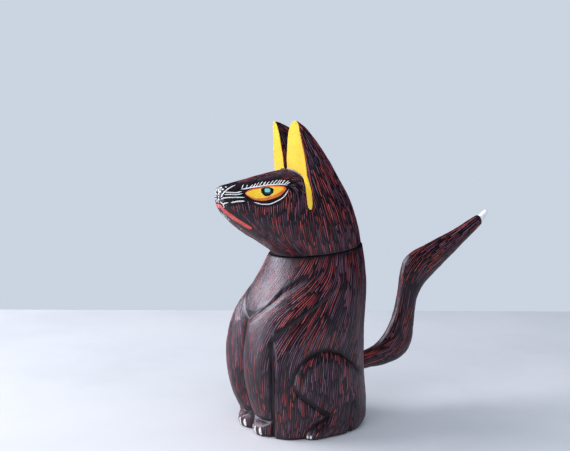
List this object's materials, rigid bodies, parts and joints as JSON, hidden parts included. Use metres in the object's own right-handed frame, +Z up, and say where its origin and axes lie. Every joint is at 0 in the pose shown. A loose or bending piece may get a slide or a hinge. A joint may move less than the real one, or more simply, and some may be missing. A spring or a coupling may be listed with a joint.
{
  "type": "seated cat figure",
  "caption": "Painted wooden figure of a seated cat with tall ears: a carved log body, a head that turns on a dowel and a tail that turns and pulls off its peg.",
  "frame": {"origin": "on the flat resting face, at the axis of the log that the body is carved from", "axes": "+Z up, -Y the way the face points, +Y towards the tail, +X the figure's left"},
  "size_m": [0.0942, 0.2552, 0.23],
  "materials": {
    "torso_paint": "satin black acrylic with fine red and plum brush strokes",
    "head_paint": "satin black acrylic with fine red and plum brush strokes, yellow ear fronts and eyes",
    "tail_paint": "satin black acrylic with fine red and plum brush strokes, white end",
    "bare_wood": "bare turned dowel"
  },
  "bodies": {
    "torso": {"torso": "torso_paint", "neck_dowel": "bare_wood"},
    "head": {"head": "head_paint"},
    "tail_peg": {"tail_peg": "bare_wood"},
    "tail": {"tail": "tail_paint"}
  },
  "joints": [
    {"name": "head_turn", "type": "hinge", "parent": "torso", "child": "head", "pos_m": [0, 0.012, 0.134], "axis": [0, -0.1191, 0.9929], "continuous": true},
    {"name": "tail_turn", "type": "hinge", "parent": "torso", "child": "tail_peg", "pos_m": [0, 0.048, 0.0395], "axis": [0, 0.9874, 0.158], "range_deg": [-90, 90]},
    {"name": "tail_pull", "type": "slide", "parent": "tail_peg", "child": "tail", "axis": [0, 0.9874, 0.158], "range_m": [0, 0.021]}
  ]
}
